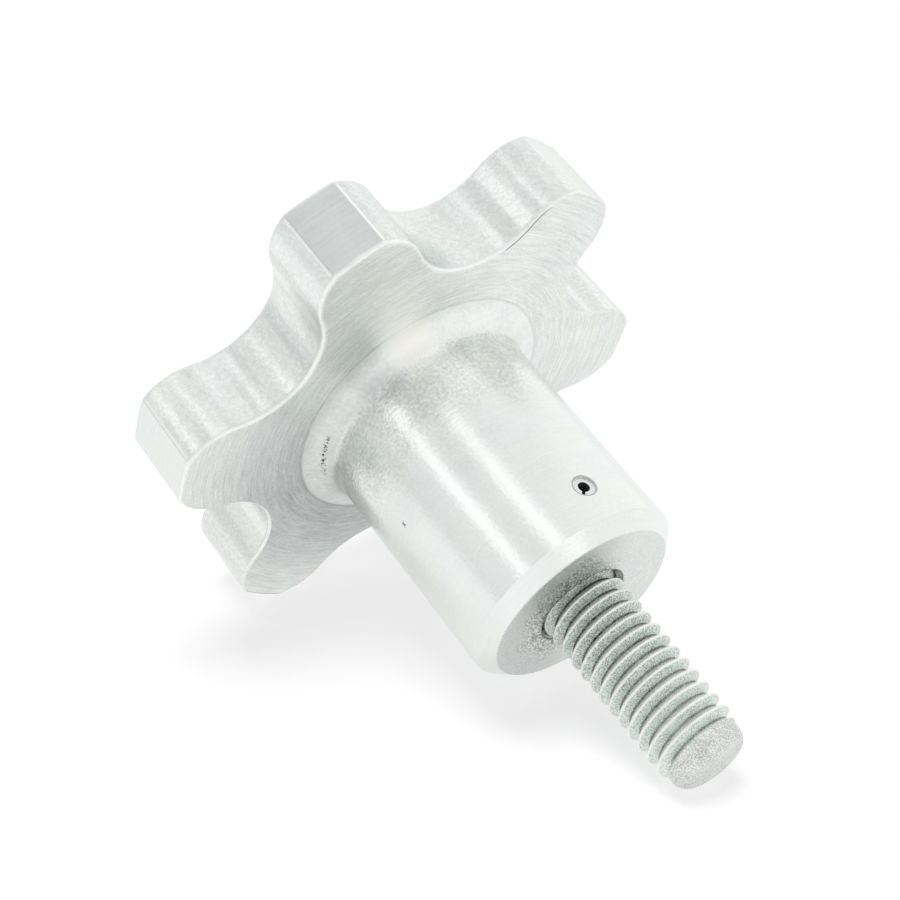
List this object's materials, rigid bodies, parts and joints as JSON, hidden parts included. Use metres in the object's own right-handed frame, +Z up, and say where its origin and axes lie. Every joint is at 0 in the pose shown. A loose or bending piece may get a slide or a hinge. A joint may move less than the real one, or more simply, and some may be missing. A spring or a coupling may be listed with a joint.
{
  "type": "threaded knob",
  "caption": "Lobed clamping knob with a cylindrical hub and a threaded steel stud held by a cross pin.",
  "frame": {"origin": "on the bench, under the centre of the bounding box", "axes": "+Z up from the bench, +X the way the stud points, seen from above; the knob lies at rest on two lobes and the stud's nose"},
  "size_m": [0.0696, 0.061, 0.0543],
  "materials": {
    "cast_aluminium": "tumbled casting, turned on the front face, rim and hub",
    "coated_steel": "dull grey granular coating",
    "spring_steel": "plain bright spring steel"
  },
  "bodies": {
    "root": {"knob": "cast_aluminium", "threaded_stud": "coated_steel", "spring_pin": "spring_steel"}
  },
  "joints": []
}
